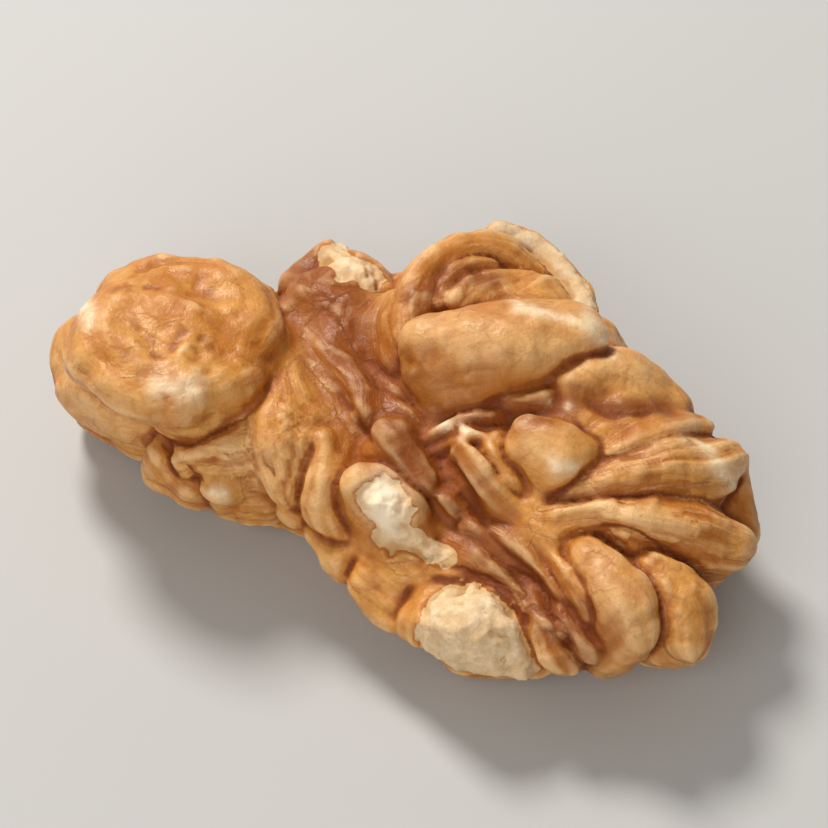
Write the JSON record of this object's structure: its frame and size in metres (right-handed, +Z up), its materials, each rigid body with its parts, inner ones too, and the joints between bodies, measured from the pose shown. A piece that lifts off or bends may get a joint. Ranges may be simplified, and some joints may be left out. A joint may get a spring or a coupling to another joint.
{
  "type": "walnut kernel",
  "caption": "Nearly whole broken half of a shelled walnut kernel, with a round head, a groove across it and a fan of folded ribs, lying on its inner side.",
  "frame": {"origin": "centre of the bounding box's bottom face, on the surface that the kernel rests on", "axes": "+X along the kernel, from the round head to the fan of ribs; +Y across it, towards the side away from the viewer; +Z up, from the inner side to the outer side"},
  "size_m": [0.0346, 0.0224, 0.0114],
  "materials": {
    "pellicle": "thin papery skin, golden tan with red-brown creases, semi-gloss, cream where it is broken"
  },
  "bodies": {
    "root": {"walnut_kernel": "pellicle"}
  },
  "joints": []
}
